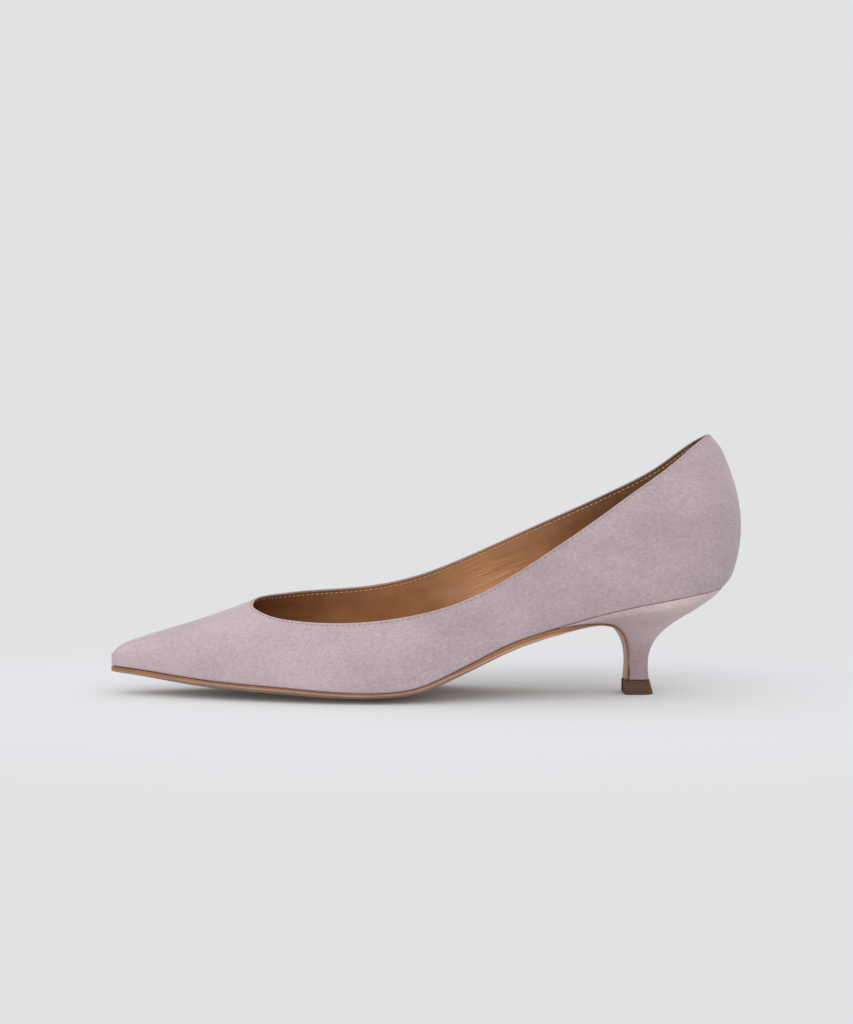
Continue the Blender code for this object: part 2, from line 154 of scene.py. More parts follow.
def addWorld(setup):
    world = bpy.data.worlds.new("studio")
    world.use_nodes = True
    tree = world.node_tree
    split = addNode(tree, "ShaderNodeSeparateXYZ")
    tree.links.new(addNode(tree, "ShaderNodeTexCoord").outputs["Generated"], split.inputs[0])
    horizon = ramped(tree, split.outputs["Z"], setup["horizonTop"][::-1], smooth=True)
    hung = ramped(tree, split.outputs["Z"], setup["backdropTop"][::-1], smooth=True)
    facing = ramped(tree, split.outputs["Y"], setup["backdropSides"], smooth=True)
    pale = combined(tree, "MAXIMUM", horizon, combined(tree, "MULTIPLY", hung, facing))
    walls = blended(tree, pale, setup["room"], setup["backdrop"])
    tree.links.new(walls, tree.nodes["Background"].inputs["Color"])
    scene.world = world


def addSuns(suns):
    for name, (strength, disc, height, turn) in suns.items():
        data = bpy.data.lights.new(name, "SUN")
        data.energy = strength
        data.angle = math.radians(disc)
        lamp = bpy.data.objects.new(name, data)
        up, around = math.radians(height), math.radians(turn)
        flat = math.cos(up)
        fromWhere = Vector((flat * math.cos(around), flat * math.sin(around), math.sin(up)))
        lamp.rotation_euler = fromWhere.to_track_quat("Z", "Y").to_euler()
        scene.collection.objects.link(lamp)


def addFloor(setup):
    bm = bmesh.new()
    bmesh.ops.create_grid(bm, x_segments=8, y_segments=8, size=setup["floorSize"])
    data = bpy.data.meshes.new("floor")
    bm.to_mesh(data)
    bm.free()
    floor = bpy.data.objects.new("floor", data)
    scene.collection.objects.link(floor)
    paper, tree, shader = newMaterial(
        "floorPaper",
        {"Roughness": 0.9, "Specular IOR Level": 0.0, "Emission Color": (*setup["backdrop"], 1)},
    )
    place = mapped(tree, objectPlace(tree), {"Scale": (setup["floorSquash"], 1.0, 1.0)})
    away = addNode(tree, "ShaderNodeVectorMath", {"operation": "LENGTH"})
    tree.links.new(place, away.inputs[0])
    ends = *setup["floorReach"], setup["floorGlow"]
    beyond = ramped(tree, away.outputs["Value"], ends, smooth=True)
    paint = blended(tree, beyond, setup["floor"], (0, 0, 0))
    tree.links.new(paint, shader.inputs["Base Color"])
    tree.links.new(beyond, shader.inputs["Emission Strength"])
    data.materials.append(paper)


addWorld(studio)
addSuns(studio["suns"])
addFloor(studio)
print("studio set")

# the last: the form the upper is pulled over, in mm, toe at low x and heel at high x

lastSizes = {
    "length": 259.0,
    "ballWidth": 74.0,
    "heelSeat": 44.2,
    "topline": 106.9,
    "toeRound": 4.0,
    "heelRound": 31.0,
    "noseRound": 8.0,
    "noseDrop": 0.38,
    "throat": 0.235,
    "throatRound": {outer: 16.0, inner: 13.0},
    "throatPower": {outer: 3.2, inner: 2.7},
    "throatLean": math.radians(14),
    "backBend": 46.5,
    "backOut": 7.1,
    "axisY": 2.8672,
    "gap": 0.3,
}

sectionNames = "along lateral medial feather crest ridge swellOuter swellInner full crown".split()
sectionRows = [
    (0.00, 0.043, 0.043, 0.262, 0.177, 0.000, 0.004, 0.004, 0.70, 0.0),
    (0.05, 0.128, 0.121, 0.244, 0.219, 0.003, 0.011, 0.011, 0.76, 0.5),
    (0.12, 0.245, 0.222, 0.204, 0.269, 0.008, 0.018, 0.016, 0.84, 1.0),
    (0.20, 0.364, 0.319, 0.168, 0.332, 0.013, 0.029, 0.026, 0.92, 1.5),
    (0.24, 0.411, 0.358, 0.156, 0.370, 0.015, 0.034, 0.030, 0.94, 1.7),
    (0.30, 0.470, 0.411, 0.138, 0.445, 0.018, 0.042, 0.037, 0.97, 2.0),
    (0.40, 0.531, 0.463, 0.106, 0.548, 0.022, 0.052, 0.045, 1.00, 2.2),
    (0.45, 0.538, 0.455, 0.109, 0.598, 0.024, 0.054, 0.048, 1.00, 2.2),
    (0.50, 0.528, 0.430, 0.148, 0.650, 0.025, 0.053, 0.052, 1.00, 2.0),
    (0.55, 0.503, 0.387, 0.263, 0.705, 0.025, 0.051, 0.060, 1.00, 1.6),
    (0.60, 0.467, 0.343, 0.401, 0.764, 0.024, 0.050, 0.069, 1.00, 1.2),
    (0.65, 0.428, 0.308, 0.533, 0.825, 0.020, 0.050, 0.076, 1.00, 0.6),
    (0.70, 0.393, 0.290, 0.626, 0.884, 0.015, 0.053, 0.080, 1.00, 0.1),
    (0.80, 0.361, 0.301, 0.784, 0.997, 0.008, 0.064, 0.080, 1.00, 0.0),
    (0.90, 0.358, 0.344, 0.902, 1.108, 0.002, 0.078, 0.080, 1.00, 0.0),
    (1.00, 0.358, 0.358, 1.000, 1.216, 0.000, 0.080, 0.080, 1.00, 0.0),
]

edgeNames = "along lateral medial".split()
edgeRows = [
    (0.235, 0.321, 0.357),
    (0.26, 0.314, 0.372),
    (0.30, 0.304, 0.384),
    (0.40, 0.299, 0.397),
    (0.50, 0.329, 0.443),
    (0.60, 0.405, 0.537),
    (0.70, 0.543, 0.645),
    (0.80, 0.704, 0.751),
    (0.90, 0.880, 0.876),
    (0.95, 0.956, 0.950),
    (1.00, 1.000, 1.000),
]

backNames = "rise out".split()
backRows = [
    (0.00, 0.0),
    (0.05, 2.6),
    (0.12, 4.5),
    (0.25, 6.4),
    (0.40, 7.1),
    (0.55, 6.3),
    (0.70, 4.0),
    (0.85, 0.5),
    (0.94, -2.6),
    (1.00, -6.2),
]


def columnCurve(names, rows, column):  # a smooth curve through one column of a table
    at = names.index(column)
    places = [row[0] for row in rows]
    values = [row[at] for row in rows]
    gaps = np.diff(places)
    rises = np.diff(values) / gaps
    shares = np.eye(len(rows))
    turns = np.zeros(len(rows))
    for k in range(1, len(gaps)):
        shares[k, k - 1 : k + 2] = gaps[k - 1], 2 * (gaps[k - 1] + gaps[k]), gaps[k]
        turns[k] = rises[k] - rises[k - 1]
    bends = np.linalg.solve(shares, turns).tolist()
    gaps = gaps.tolist()

    def value(place):
        k = min(max(bisect(places, place) - 1, 0), len(gaps) - 1)
        gap = gaps[k]
        after = min(max(place - places[k], 0.0), gap)
        before = gap - after
        straight = values[k] * before + values[k + 1] * after
        bend = bends[k] * before * (before**2 - gap**2) + bends[k + 1] * after * (after**2 - gap**2)
        return (straight + bend) / gap

    return value


section = {name: columnCurve(sectionNames, sectionRows, name) for name in sectionNames[1:]}
edgeHeight = {
    outer: columnCurve(edgeNames, edgeRows, "lateral"),
    inner: columnCurve(edgeNames, edgeRows, "medial"),
}
backOut = columnCurve(backNames, backRows, "out")
toeX = -lastSizes["length"] / 2
seatX = lastSizes["length"] / 2 - lastSizes["backOut"]
throatX = toeX + lastSizes["throat"] * (seatX - toeX)


def quarterRound(distance, reach, power=2.0):  # 0 to 1 over the reach
    left = 1 - min(max(distance / reach, 0.0), 1.0)
    return max(1 - left**power, 0.0) ** (1 / power)


def fade(share):
    share = min(max(share, 0.0), 1.0)
    return share * share * (3 - 2 * share)


def bell(distance, width):
    return math.exp(-((distance / width) ** 2))


def shareAlong(x):
    return (x - toeX) / (seatX - toeX)


def featherHeight(x):
    return section["feather"](shareAlong(x)) * lastSizes["heelSeat"]


def endRounding(x, inset=0.0):
    fromToe = quarterRound(x - toeX - inset, lastSizes["toeRound"])
    return fromToe * quarterRound(seatX - x - inset, lastSizes["heelRound"] - inset)


def halfWidth(x, side, inset=0.0):
    width = section["lateral" if side == outer else "medial"](shareAlong(x)) * lastSizes["ballWidth"]
    return max(width - inset, 0.0) * endRounding(x, inset)


def crestHeight(x):
    feather = featherHeight(x)
    rise = section["crest"](shareAlong(x)) * lastSizes["topline"] - feather
    left = 1 - min(max((x - toeX) / lastSizes["noseRound"], 0.0), 1.0)
    return feather + rise * (1 - lastSizes["noseDrop"] * left**3)


def backShift(x, z):  # how far the back's own curve moves a point
    seat = lastSizes["heelSeat"]
    bend = fade((x - seatX + lastSizes["backBend"]) / lastSizes["backBend"])
    return backOut((z - seat) / (lastSizes["topline"] - seat)) * bend


def lastPoint(x, side, angle):  # angle 0 at the feather line, a quarter turn at the crest
    if angle > math.pi / 2:
        side, angle = -side, math.pi - angle
    along = shareAlong(x)
    feather = featherHeight(x)
    rounded = endRounding(x)
    ridge = section["ridge"](along) * lastSizes["ballWidth"] * rounded
    swell = section["swellOuter" if side == outer else "swellInner"](along) * lastSizes["ballWidth"]
    reach = halfWidth(x, side) + swell * math.sin(2 * angle) * rounded
    offset = (side * reach - ridge) * max(math.cos(angle), 0.0) ** section["full"](along)
    z = feather + (crestHeight(x) - feather) * math.sin(angle)
    return Vector((x + backShift(x, z), ridge + offset, z))


def wallReach(x, side, angle, step=0.01):  # mm of wall for each radian
    return (lastPoint(x, side, angle + step) - lastPoint(x, side, angle - step)).length / (2 * step)


def partingAngle(x, side):  # line on the vamp where the sheet's two halves meet
    return math.pi / 2 + side * lastSizes["throatLean"] * fade((x - toeX) / (throatX - toeX))


def topAngle(x, side, inset=0.0):  # the top edge, or a line that runs below it
    parting = partingAngle(x, side)
    feather = featherHeight(x)
    along = shareAlong(x)
    height = edgeHeight[side](along) * lastSizes["topline"]
    share = (height - feather) / (crestHeight(x) - feather)
    edge = math.asin(min(max(share, 0.0), 1.0))
    if inset:
        step = 1.0 / (seatX - toeX)
        slope = (edgeHeight[side](along + step) - edgeHeight[side](along - step)) / 2
        edge -= inset * math.hypot(1, slope * lastSizes["topline"]) / wallReach(x, side, edge)
    reach, power = lastSizes["throatRound"][side] + inset, lastSizes["throatPower"][side]
    return parting - (parting - edge) * quarterRound(x - throatX + inset, reach, power)


def eased(start, end, steps, power=1.0):
    return [start + (end - start) * (k / steps) ** power for k in range(steps)]


def throatPlaces(turns, side, inset):  # x of the top edge round the front of the opening
    reach, power = lastSizes["throatRound"][side] + inset, lastSizes["throatPower"][side]
    return [throatX - inset + reach * (1 - math.cos(turn) ** (2 / power)) for turn in turns]


def heelPlaces(steps, power=1.5):  # x of the columns round the back, closest at its middle
    start = seatX - lastSizes["heelRound"]
    shares = [1 - (1 - k / steps) ** power for k in range(steps + 1)]
    return [start + lastSizes["heelRound"] * math.sin(share * math.pi / 2) for share in shares]


def topLine(inset):  # the top edge from the back along the outer side, round the throat and home
    throatSteps, sideSteps, heelSteps = 60, 140, 50
    halves = []
    for side in (outer, inner):
        straight = throatX + lastSizes["throatRound"][side]
        places = throatPlaces(eased(0.0, math.pi / 2, throatSteps), side, inset)
        places += eased(straight, seatX - lastSizes["heelRound"], sideSteps) + heelPlaces(heelSteps)
        halves.append([lastPoint(x, side, topAngle(x, side, inset)) for x in places])
    return halves[0][::-1] + halves[1][1:]


def spaced(points, pitch):  # points an even distance apart along a line, with their directions
    lengths = [(b - a).length for a, b in zip(points, points[1:])]
    count = int(sum(lengths) / pitch)
    pitch = sum(lengths) / count
    found, walked, k = [], 0.0, 0
    for n in range(count):
        wanted = (n + 0.5) * pitch
        while walked + lengths[k] < wanted:
            walked += lengths[k]
            k += 1
        run = points[k + 1] - points[k]
        found.append((points[k] + run * ((wanted - walked) / lengths[k]), run.normalized()))
    return found


# mesh helpers


def formGrid(bm, rows):  # a grid laid through rows of points
    across, up = len(rows) - 1, len(rows[0]) - 1
    made = bmesh.ops.create_grid(bm, x_segments=across, y_segments=up, size=0.5)["verts"]
    grid = {}
    for vert in made:
        at = round((vert.co.x + 0.5) * across), round((vert.co.y + 0.5) * up)
        grid[at] = vert
    for (i, j), vert in grid.items():
        vert.co = rows[i][j]
    return grid


def weld(bm, distance=0.002):
    bmesh.ops.remove_doubles(bm, verts=bm.verts, dist=distance)


def faceOut(bm):  # a thin tip can turn the recalculated normals inwards
    bmesh.ops.recalc_face_normals(bm, faces=bm.faces)
    if bm.calc_volume(signed=True) < 0:
        bmesh.ops.reverse_faces(bm, faces=bm.faces)


def closeUp(bm):  # merges the seam and caps the open ends
    weld(bm)
    bmesh.ops.holes_fill(bm, edges=[edge for edge in bm.edges if edge.is_boundary], sides=0)
    faceOut(bm)


def roundEdges(bm, edges, corner):
    bmesh.ops.bevel(
        bm,
        geom=edges,
        offset=corner,
        offset_type="OFFSET",
        segments=3,
        profile=0.5,
        affect="EDGES",
        material=-1,
    )


def rimLoops(bm):  # the sheet's open edges, each as a ring of points that ends where it starts
    left = {edge: True for edge in bm.edges if edge.is_boundary}
    loops = []
    while left:
        edge = next(iter(left))
        del left[edge]
        loop = list(edge.verts)
        while True:
            step = next((e for e in loop[-1].link_edges if e in left), None)
            if step is None:
                break
            del left[step]
            loop.append(step.other_vert(loop[-1]))
        loops.append(loop)
    return loops


def rollShell(bm, thick, steps=6, flatBelow=None):  # gives a sheet its thickness and round rims
    bm.normal_update()
    rims = []
    for loop in rimLoops(bm):
        rows = []
        flat = flatBelow is not None and min(vert.co.z for vert in loop) < flatBelow
        ring = loop[:-1]
        for k, vert in enumerate(ring):
            along = ring[(k + 1) % len(ring)].co - ring[k - 1].co
            out = along.cross(vert.normal).normalized()
            centres = [face.calc_center_median() for face in vert.link_faces]
            inside = sum(centres, Vector()) / len(centres)
            if out.dot(vert.co - inside) < 0:
                out.negate()
            middle = vert.co - vert.normal * thick / 2
            turns = [0.0, math.pi] if flat else [math.pi * n / steps for n in range(steps + 1)]
            arms = [vert.normal * math.cos(turn) + out * math.sin(turn) for turn in turns]
            rows.append([middle + arm * thick / 2 for arm in arms])
        rims.append(rows + rows[:1])
    normals = {vert: vert.normal.copy() for vert in bm.verts}
    copied = bmesh.ops.duplicate(bm, geom=bm.verts[:] + bm.edges[:] + bm.faces[:])
    for old, new in copied["vert_map"].items():
        if old in normals:
            new.co -= normals[old] * thick
    for rows in rims:
        formGrid(bm, rows)
    weld(bm)
    faceOut(bm)


def finishPiece(bm, name, materials, nodes=()):  # from mm about the last's axis to metres
    bmesh.ops.translate(bm, vec=(0, lastSizes["axisY"], 0), verts=bm.verts)
    bmesh.ops.scale(bm, vec=(0.001, 0.001, 0.001), verts=bm.verts)
    data = bpy.data.meshes.new(name)
    bm.to_mesh(data)
    bm.free()
    data.shade_smooth()
    for material in materials:
        data.materials.append(material)
    piece = bpy.data.objects.new(name, data)
    scene.collection.objects.link(piece)
    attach(piece, "root")
    if nodes:
        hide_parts(*nodes)
    print(name, len(data.polygons), "faces")


# upper: suede outside, tan lining inside, both sheets of the last's own form

upperSheet = {
    # rows below the rim and rows above the foot
    "drops": (0.0, 0.2, 0.4, 0.6, 0.8, 1.0, 1.25, 1.55, 1.9, 2.35, 2.95, 3.75, 4.75),
    "lifts": (1.0, 0.65, 0.4, 0.2, 0.08, 0.0),
    "wallRows": 38,
    "wallSteps": 48,
    "throatRows": 26,
    "toeColumns": 9,
    "vampColumns": 40,
    "fanLength": 14.0,
    "fanShares": [1.0, 0.9, 0.8, 0.7, 0.6, 0.5, 0.42],
    "cornerColumns": 12,
    "sideColumns": 170,
    "heelColumns": 60,
}


def wallColumn(x, side, inset, foot, setup):  # points of one column, from the sheet's foot to its top
    top = topAngle(x, side, inset)
    low = foot / wallReach(x, side, 0.0)
    angles = eased(top, low, setup["wallSteps"]) + [low]
    points = [lastPoint(x, side, angle) for angle in angles]
    reach = [0.0]
    for a, b in zip(points, points[1:]):
        reach.append(reach[-1] + (b - a).length)
    drops = list(setup["drops"][:-1])
    drops += eased(setup["drops"][-1], reach[-1] - setup["lifts"][0], setup["wallRows"])
    drops += [reach[-1] - lift for lift in setup["lifts"]]
    found = []
    for drop in drops:
        k = min(max(bisect(reach, drop) - 1, 0), len(reach) - 2)
        share = min((drop - reach[k]) / (reach[k + 1] - reach[k]), 1.0)
        found.append(angles[k] + (angles[k + 1] - angles[k]) * share)
    return found[::-1]


def layUpper(bm, inset, foot, setup):  # the whole sheet, from its foot near the sole to its top edge
    turns = [math.pi / 4 * (1 - k / setup["throatRows"]) for k in range(setup["throatRows"] + 1)]
    fan = throatX - setup["fanLength"]
    toe = toeX + lastSizes["toeRound"]
    ahead = eased(toeX, toe, setup["toeColumns"], power=2.0) + eased(toe, fan, setup["vampColumns"])
    steps = setup["fanShares"] + [drop / setup["fanLength"] for drop in setup["drops"][::-1]]
    fronts, shares = {}, {}
    for side in (outer, inner):
        fronts[side] = throatPlaces(turns, side, inset)
        angles = wallColumn(fronts[side][0], side, inset, foot, setup)
        angles = angles[:-1] + [topAngle(x, side, inset) for x in fronts[side]]
        shares[side] = [angle / partingAngle(throatX, side) for angle in angles]
    for side in (outer, inner):
        ends = [fronts[side][0]] * (len(shares[side]) - len(turns)) + fronts[side]
        lines = [[x] * len(ends) for x in ahead]
        lines += [[fan + (end - fan) * (1 - step) for end in ends] for step in steps]
        vamp = []
        for line in lines:
            row = []
            for x, own, other in zip(line, shares[side], shares[-side]):
                apart = (1 + min((x - toeX) / (fan - toeX), 1.0)) / 2
                share = own * apart + other * (1 - apart)
                row.append(lastPoint(x, side, share * partingAngle(x, side)))
            vamp.append(row)
        straight = throatX + lastSizes["throatRound"][side]
        columns = eased(fronts[side][0], straight, setup["cornerColumns"], power=1.5)
        columns += eased(straight, seatX - lastSizes["heelRound"], setup["sideColumns"])
        columns += heelPlaces(setup["heelColumns"])
        quarter = []
        for x in columns:
            angles = wallColumn(x, side, inset, foot, setup)
            quarter.append([lastPoint(x, side, angle) for angle in angles])
        for rows in (vamp, quarter):
            formGrid(bm, rows if side == outer else rows[::-1])
    weld(bm)
    bm.normal_update()


def nearTop():  # finds how far a point lies from the top edge
    places = spaced(topLine(inset=0.0), pitch=0.25)
    tree = KDTree(len(places))
    for k, (point, run) in enumerate(places):
        tree.insert(point, k)
    tree.balance()
    return lambda point: tree.find(point)[2]


fromTop = nearTop()

suedeSetup = {
    "thick": 0.6,
    "footTuck": (0.62, 0.40),  # how far it turns in over the sole's edge, and within what width
    "foldPuff": (0.05, 0.45),  # the folded edge is two layers thick
    "foldMiddle": 0.45,
    "seamDrop": 0.95,  # stitches below the top edge
    "seamDepth": (0.10, 0.30),
    "backSeam": (0.10, 0.35),
    "backSeamStart": (100.0, 108.0),
    "flatBelow": 10,  # a rim this low is cut flat
    "light": (0.535, 0.432, 0.452),
    "dark": (0.350, 0.277, 0.293),
    "tone": (-0.045, 0.030, 0.03, -0.24),  # x of vamp and quarters, and how much paler or darker each is painted: painted light on the vamp, painted shade on the quarters
}


def suedeMaterial(name, light, dark, tone, lower=None):  # lower: z at start and end, and the tint of the painted shade at the end
    made, tree, shader = newMaterial(
        name,
        {
            "Roughness": 0.95,
            "Specular IOR Level": 0.15,
            "Sheen Weight": 0.25,
            "Sheen Roughness": 0.45,
            "Sheen Tint": (1.0, 0.96, 0.97, 1.0),
        },
    )
    link = tree.links.new
    place = objectPlace(tree)
    brushed = mapped(tree, place, {"Scale": (0.7, 1.0, 1.25), "Rotation": (0, 0.35, 0)})
    cloud = addNoise(tree, brushed, scale=48.0, detail=4.0, roughness=0.6)
    clump = addNoise(tree, brushed, scale=700.0, detail=3.0, roughness=0.6)
    nap = addNoise(tree, brushed, scale=2000.0, detail=1.0, roughness=0.6)
    split = addNode(tree, "ShaderNodeSeparateXYZ")
    link(place, split.inputs[0])
    shade = ramped(tree, cloud, (*noiseReach, 0.30, 0.70))
    for noise, swing in ((clump, 0.19), (nap, 0.26)):
        shade = combined(tree, "ADD", shade, ramped(tree, noise, (*noiseReach, -swing, swing)))
    # darker or paler along x as the tone gives; on the upper this is painted light and shade
    shade = combined(tree, "ADD", shade, ramped(tree, split.outputs["X"], tone, smooth=True))
    paint = blended(tree, shade, dark, light)
    # painted shade: the colour is tinted darker towards the bottom
    if lower:
        start, end, tint = lower
        settings = {"data_type": "RGBA", "blend_type": "MULTIPLY"}
        tinted = addNode(tree, "ShaderNodeMix", settings, {7: (*tint, 1)})
        link(ramped(tree, split.outputs["Z"], (start, end), smooth=True), tinted.inputs[0])
        link(paint, tinted.inputs[6])
        paint = tinted.outputs[2]
    link(paint, shader.inputs["Base Color"])
    addBump(tree, shader, combined(tree, "ADD", nap, clump), strength=0.35, distance=0.00015)
    return made


def softRidge(size, distance):  # a soft ridge of this height and width
    height, width = size
    return height * bell(distance, width)


def makeSuede(setup):
    bm = bmesh.new()
    half = setup["thick"] / 2
    layUpper(bm, half, -lastSizes["gap"], upperSheet)
    foot = min(rimLoops(bm), key=lambda loop: min(vert.co.z for vert in loop))
    footTree = KDTree(len(foot))
    for k, vert in enumerate(foot):
        footTree.insert(vert.co, k)
    footTree.balance()
    seamStart, seamFull = setup["backSeamStart"]
    for vert in bm.verts:
        drop = fromTop(vert.co)
        out = softRidge(setup["foldPuff"], drop - setup["foldMiddle"])
        out -= softRidge(setup["seamDepth"], drop - setup["seamDrop"])
        atBack = fade((vert.co.x - seamStart) / (seamFull - seamStart))
        out -= softRidge(setup["backSeam"], vert.co.y) * atBack
        out -= softRidge(setup["footTuck"], footTree.find(vert.co)[2])
        vert.co += vert.normal * out
    rollShell(bm, setup["thick"], flatBelow=setup["flatBelow"])
    surface = BVHTree.FromBMesh(bm)
    finishPiece(bm, "upperSuede", [suede], ["upper"])
    return surface


suede = suedeMaterial("suede", suedeSetup["light"], suedeSetup["dark"], suedeSetup["tone"])
suedeSurface = makeSuede(suedeSetup)

liningSetup = {
    "face": 1.6,  # its face lies this far inside the last
    "thick": 0.4,
    "rimFace": 1.0,  # both leathers are pared thin along the rim
    "rimReach": 6.0,
    "lower": 0.3,  # its rim is this far below the suede's
    "foot": 0.5,  # it ends this far above the feather line
    "seamDrop": 1.25,
    "seamDepth": (0.12, 0.35),
    # creases of the inner wall: x and z of both ends, height and width
    "creases": [
        (22, 42, 34, 47.5, 0.22, 1.0),
        (25, 49, 44, 57, 0.20, 0.8),
        (26, 46, 42, 52.5, -0.20, 0.8),
        (23, 52, 39, 57, -0.16, 0.9),
        (28, 44, 38, 49.5, 0.18, 0.7),
        (31, 47.5, 45, 54.5, 0.16, 0.7),
        (14, 33, 25, 44, -0.22, 1.4),
        (20, 36, 33, 44, 0.24, 1.3),
    ],
    "creaseEnds": (0.8, 0.38),  # where a crease stops and how it fades, in its lengths from its middle
    "padMiddle": (24.0, 34.0),  # the arch is padded
    "padReach": (26.0, 9.0),
    "padHeight": 2.6,
    "wrinkleMiddle": (30.0, 47.0),
    "wrinkleReach": (20.0, 11.0),
    "wrinkleTurn": math.radians(22),
    "wrinkleSize": (0.012, 0.012, 0.0010),  # m, long and thin
    "tone": 0.52,
    "front": (-35.0, -60.0, -0.29),  # x from which, x to which and how much darker it gets, painted shade under the vamp
    # the same for the heel cup, painted shade
    "back": (40.0, 80.0, -0.47),
    "paintedHighlight": 0.40,  # painted highlight, paler where it wrinkles
    "light": (0.50, 0.240, 0.105),
    "dark": (0.16, 0.068, 0.028),
}


def leatherMaterial(name, light, dark, roughness=0.42, grain=1400.0, relief=0.00006, tone=None):
    made, tree, shader = newMaterial(name, {"Specular IOR Level": 0.32})
    link = tree.links.new
    place = objectPlace(tree)
    cloud = addNoise(tree, place, scale=90.0, detail=4.0, roughness=0.6)
    fine = addNoise(tree, place, scale=grain * 0.7, detail=4.0, roughness=0.65)
    pores = addNode(tree, "ShaderNodeTexVoronoi", None, {"Scale": grain})
    link(place, pores.inputs["Vector"])
    swing = (-0.12, 0.12) if tone else (0.15, 0.85)
    shade = ramped(tree, cloud, (*noiseReach, *swing))
    if tone:  # an attribute's name
        stored = addNode(tree, "ShaderNodeAttribute", {"attribute_name": tone})
        shade = combined(tree, "ADD", shade, stored.outputs["Fac"])
    link(blended(tree, shade, dark, light), shader.inputs["Base Color"])
    gloss = ramped(tree, fine, (*noiseReach, roughness - 0.06, roughness + 0.06))
    link(gloss, shader.inputs["Roughness"])
    height = combined(tree, "ADD", fine, pores.outputs["Distance"])
    addBump(tree, shader, height, strength=0.3, distance=relief)
    return made


def liningMaterial(setup):  # tan leather, with fine wrinkles where the wall is bent most, and painted shade and highlight from its tone
    made = leatherMaterial("liningLeather", setup["light"], setup["dark"], tone="tone")
    tree = made.node_tree
    lie = {"Rotation": (0, -setup["wrinkleTurn"], 0), "Scale": setup["wrinkleSize"]}
    place = mapped(tree, objectPlace(tree), lie, "TEXTURE")
    streaks = addNoise(tree, place, scale=1.0, detail=2.0, roughness=0.55)
    mask = addNode(tree, "ShaderNodeAttribute", {"attribute_name": "wrinkled"})
    height = combined(tree, "MULTIPLY", streaks, mask.outputs["Fac"])
    grain = tree.nodes["Principled BSDF"].inputs["Normal"].links[0].from_node
    addBump(tree, grain, height, strength=0.8, distance=0.0005)
    return made


def creaseHeight(point, setup):
    total = 0.0
    stop, fading = setup["creaseEnds"]
    for x0, z0, x1, z1, height, width in setup["creases"]:
        run = Vector((x1 - x0, z1 - z0))
        at = Vector((point.x - x0, point.z - z0))
        share = at.dot(run) / run.length_squared
        if abs(share - 0.5) < stop:
            away = (at - run * share).length
            total += height * bell(away, width) * bell(share - 0.5, fading)
    return total


def patch(point, middle, reach):  # 1 at the middle of a soft patch seen from the side, 0 far from it
    return bell(point.x - middle[0], reach[0]) * bell(point.z - middle[1], reach[1])


def makeLining(setup):
    bm = bmesh.new()
    layUpper(bm, setup["lower"] + setup["thick"] / 2, setup["foot"], upperSheet)
    for vert in bm.verts:
        drop = fromTop(vert.co)
        pared = fade(1 - drop / setup["rimReach"])
        depth = setup["face"] - (setup["face"] - setup["rimFace"]) * pared
        depth -= softRidge(setup["seamDepth"], drop - setup["seamDrop"])
        if vert.co.y > 0:
            depth += creaseHeight(vert.co, setup)
            depth += setup["padHeight"] * patch(vert.co, setup["padMiddle"], setup["padReach"])
        vert.co -= vert.normal * depth
    bmesh.ops.reverse_faces(bm, faces=bm.faces)
    rollShell(bm, setup["thick"])
    wrinkled = bm.verts.layers.float.new("wrinkled")
    tone = bm.verts.layers.float.new("tone")
    for vert in bm.verts:
        if vert.co.y > 0:
            vert[wrinkled] = patch(vert.co, setup["wrinkleMiddle"], setup["wrinkleReach"])
        # painted shade toward the toe and the heel cup, painted highlight where it wrinkles
        shade = setup["tone"] + setup["paintedHighlight"] * vert[wrinkled]
        for start, end, darker in (setup["front"], setup["back"]):
            shade += darker * fade((vert.co.x - start) / (end - start))
        vert[tone] = shade
    surface = BVHTree.FromBMesh(bm)
    finishPiece(bm, "lining", [liningLeather])
    return surface


liningLeather = liningMaterial(liningSetup)
liningSurface = makeLining(liningSetup)

# one row of stitches through both, under the top edge

stitchSetup = {
    "pitch": 2.15,
    "size": (0.62, 0.24, 0.18),  # half length, half width, half height
    "slant": math.radians(8),
    "raised": 0.3,  # of its half height
    "through": 1.6,  # mm from the suede to the lining's face
    # darker than the suede: partly the thread's own colour, partly painted shade of the needle holes
    "outsideThread": (0.36, 0.285, 0.310),
    "insideThread": (0.56, 0.41, 0.27),
}


def threadMaterial(name, colour):
    made, tree, shader = newMaterial(name, {"Roughness": 0.75, "Sheen Weight": 0.2})
    ply = addNoise(tree, objectPlace(tree), scale=3000.0, detail=2.0)
    dark = [channel * 0.75 for channel in colour]
    tree.links.new(blended(tree, ply, dark, colour), shader.inputs["Base Color"])
    addBump(tree, shader, ply, strength=0.3, distance=0.00005)
    return made


def makeStitches(name, drop, lining, material, setup):
    bm = bmesh.new()
    long, wide, high = setup["size"]
    for point, run in spaced(topLine(drop), setup["pitch"]):
        near, normal = suedeSurface.find_nearest(point)[:2]
        if lining:
            near, normal = lining.find_nearest(near - normal * setup["through"])[:2]
        run = (run - normal * run.dot(normal)).normalized()
        side = normal.cross(run)
        turned = Matrix((run, side, normal)).transposed().to_4x4()
        turned = turned @ Matrix.Rotation(setup["slant"], 4, "Z")
        place = Matrix.Translation(near + normal * high * setup["raised"])
        place = place @ turned @ Matrix.Diagonal((long, wide, high, 1))
        bmesh.ops.create_uvsphere(bm, u_segments=8, v_segments=6, radius=1.0, matrix=place)
    finishPiece(bm, name, [material])


outsideThread = threadMaterial("outsideThread", stitchSetup["outsideThread"])
insideThread = threadMaterial("insideThread", stitchSetup["insideThread"])
suedeDrop, liningDrop = suedeSetup["seamDrop"], liningSetup["seamDrop"]
makeStitches("stitchesOutside", suedeDrop, None, outsideThread, stitchSetup)
makeStitches("stitchesInside", liningDrop, liningSurface, insideThread, stitchSetup)

# insole sock

